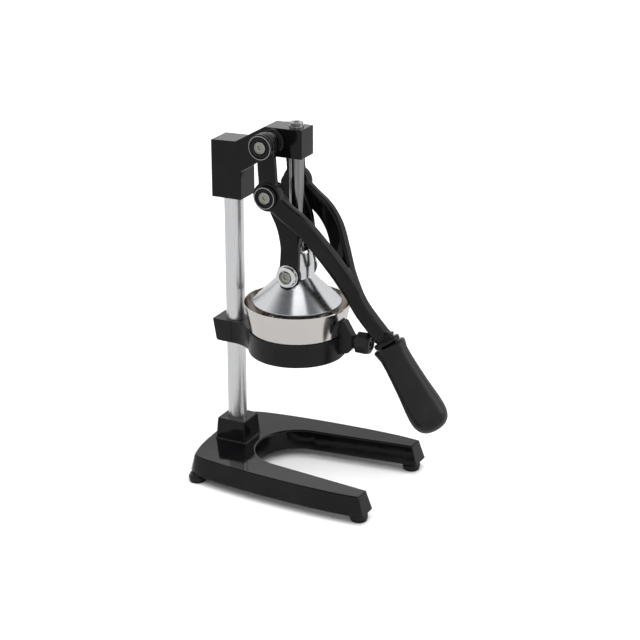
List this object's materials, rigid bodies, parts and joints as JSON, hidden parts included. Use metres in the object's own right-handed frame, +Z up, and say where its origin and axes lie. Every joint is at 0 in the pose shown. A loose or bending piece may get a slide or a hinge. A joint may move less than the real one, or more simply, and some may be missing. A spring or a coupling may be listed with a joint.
{
  "type": "citrus press juicer",
  "caption": "Hand-lever citrus press: horseshoe base, upright column, cup with strainer on a bracket, and a bell-shaped press cone driven down by a forked lever and links.",
  "frame": {"origin": "middle of the press's outer box, on the surface that its feet stand on", "axes": "+Z up along the column, the handle towards -Y, left and right are -X and +X"},
  "size_m": [0.1674, 0.281, 0.3954],
  "materials": {
    "enamel": "gloss black enamel over cast iron",
    "satin_enamel": "satin black enamel over cast iron",
    "rubber": "matte black",
    "chrome": "polished chrome plate",
    "zinc": "zinc plated",
    "stainless": "polished stainless steel",
    "bronze": "oiled bronze",
    "aluminium": "fine turned and polished"
  },
  "bodies": {
    "frame": {"base": "enamel", "foot_front_left": "rubber", "foot_rear_left": "rubber", "foot_front_right": "rubber", "foot_rear_right": "rubber", "column": "chrome", "column_washer": "zinc", "column_bolt": "zinc", "cup_bracket": "satin_enamel", "bracket_set_screw": "zinc", "stop_bumper": "rubber", "stop_screw": "zinc", "juice_cup": "stainless", "strainer_cone": "stainless", "head": "enamel", "head_set_screw": "zinc", "rod_bush_lower": "bronze", "rod_bush_upper": "bronze", "lever_pivot_shaft": "zinc", "pivot_spacer_left": "enamel", "pivot_spacer_right": "enamel", "pivot_cap_left": "enamel", "pivot_screw_left": "zinc", "pivot_washer_right": "enamel", "pivot_screw_right": "zinc"},
    "lever": {"lever": "enamel", "handle_grip": "rubber", "crank_pin_left": "zinc", "crank_pin_right": "zinc", "crank_cap_left": "enamel", "crank_cap_right": "enamel", "crank_screw_left": "zinc", "crank_screw_right": "zinc"},
    "plunger": {"plunger_rod": "chrome", "press_cone": "aluminium", "cone_nut": "zinc"},
    "links": {"link_left": "enamel", "link_right": "enamel", "link_pin_left": "zinc", "link_pin_right": "zinc", "link_washer_left": "enamel", "link_washer_right": "enamel", "link_cap_left": "chrome", "link_cap_right": "chrome", "link_screw_left": "zinc", "link_screw_right": "zinc"}
  },
  "joints": [
    {"name": "lever_pivot", "type": "hinge", "parent": "frame", "child": "lever", "pos_m": [0, 0.05135, 0.3762], "axis": [-1, 0, 0], "range_deg": [0, 110]},
    {"name": "plunger_slide", "type": "slide", "parent": "frame", "child": "plunger", "axis": [0, 0, 1], "range_m": [0, 0.0776]},
    {"name": "link_swing", "type": "hinge", "parent": "plunger", "child": "links", "pos_m": [0, 0.03225, 0.236], "axis": [1, 0, 0], "range_deg": [0, 29.2]}
  ],
  "couplings": [
    {"joint": "plunger_slide", "follows": "lever_pivot", "m_per_rad": 0.040368},
    {"joint": "link_swing", "follows": "lever_pivot", "ratio": 0.26473}
  ]
}
